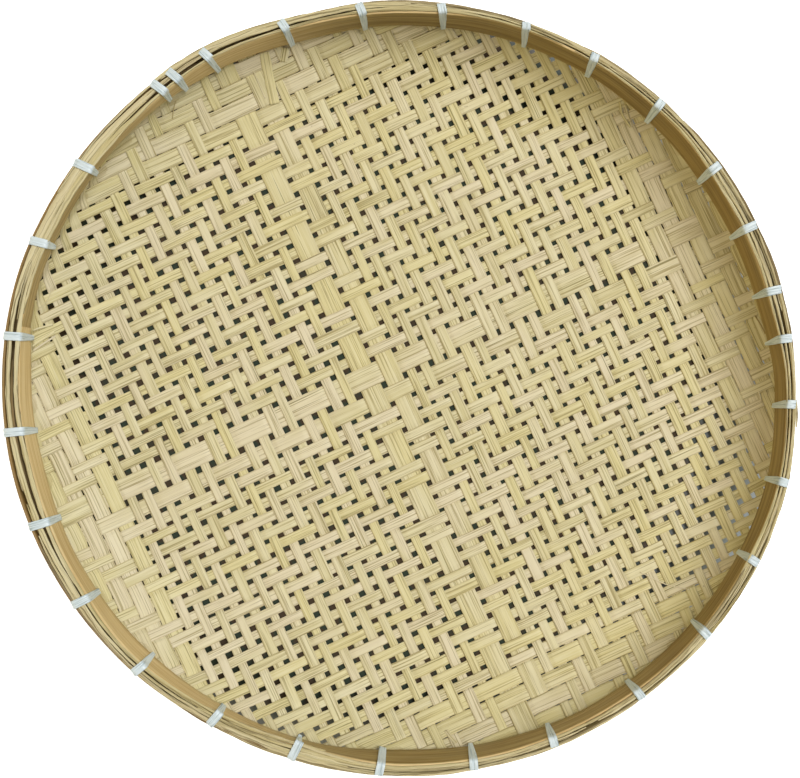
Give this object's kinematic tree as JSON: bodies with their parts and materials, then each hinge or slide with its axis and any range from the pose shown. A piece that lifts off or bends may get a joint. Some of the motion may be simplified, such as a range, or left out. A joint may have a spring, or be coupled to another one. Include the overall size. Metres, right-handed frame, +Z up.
{
  "type": "woven winnowing tray",
  "caption": "Round shallow tray of flat bamboo strips woven two over two under, held between two bamboo hoops tied with tape.",
  "frame": {"origin": "under the middle of the outer hoop, at the level of the mat's underside", "axes": "+Z up out of the open side; the weft strips run 24.7 degrees from +X towards +Y"},
  "size_m": [0.4503, 0.439, 0.0461],
  "materials": {
    "bamboo_strip": "matte",
    "bamboo_hoop": "satin",
    "bamboo_splint": "matte",
    "tape": "matte"
  },
  "bodies": {
    "root": {"inner_hoop": "bamboo_hoop", "lashing_1": "tape", "lashing_2": "tape", "lashing_3": "tape", "lashing_4": "tape", "lashing_5": "tape", "outer_hoop": "bamboo_hoop", "packing_inner": "bamboo_splint", "packing_outer": "bamboo_splint", "splint_inner": "bamboo_splint", "splint_middle": "bamboo_splint", "splint_outer": "bamboo_splint", "warp_01": "bamboo_strip", "warp_02": "bamboo_strip", "warp_03": "bamboo_strip", "warp_04": "bamboo_strip", "warp_05": "bamboo_strip", "warp_06": "bamboo_strip", "warp_07": "bamboo_strip", "warp_08": "bamboo_strip", "warp_09": "bamboo_strip", "warp_10": "bamboo_strip", "warp_11": "bamboo_strip", "warp_12": "bamboo_strip", "warp_13": "bamboo_strip", "warp_14": "bamboo_strip", "warp_15": "bamboo_strip", "warp_16": "bamboo_strip", "warp_17": "bamboo_strip", "warp_18": "bamboo_strip", "warp_19": "bamboo_strip", "warp_20": "bamboo_strip", "warp_21": "bamboo_strip", "warp_22": "bamboo_strip", "warp_23": "bamboo_strip", "weft_01": "bamboo_strip", "weft_02": "bamboo_strip", "weft_03": "bamboo_strip", "weft_04": "bamboo_strip", "weft_05": "bamboo_strip", "weft_06": "bamboo_strip", "weft_07": "bamboo_strip", "weft_08": "bamboo_strip", "weft_09": "bamboo_strip", "weft_10": "bamboo_strip", "weft_11": "bamboo_strip", "weft_12": "bamboo_strip", "weft_13": "bamboo_strip", "weft_14": "bamboo_strip", "weft_15": "bamboo_strip", "weft_16": "bamboo_strip", "weft_17": "bamboo_strip", "weft_18": "bamboo_strip", "weft_19": "bamboo_strip", "weft_20": "bamboo_strip", "weft_21": "bamboo_strip", "weft_22": "bamboo_strip", "weft_23": "bamboo_strip", "weft_24": "bamboo_strip"}
  },
  "joints": []
}
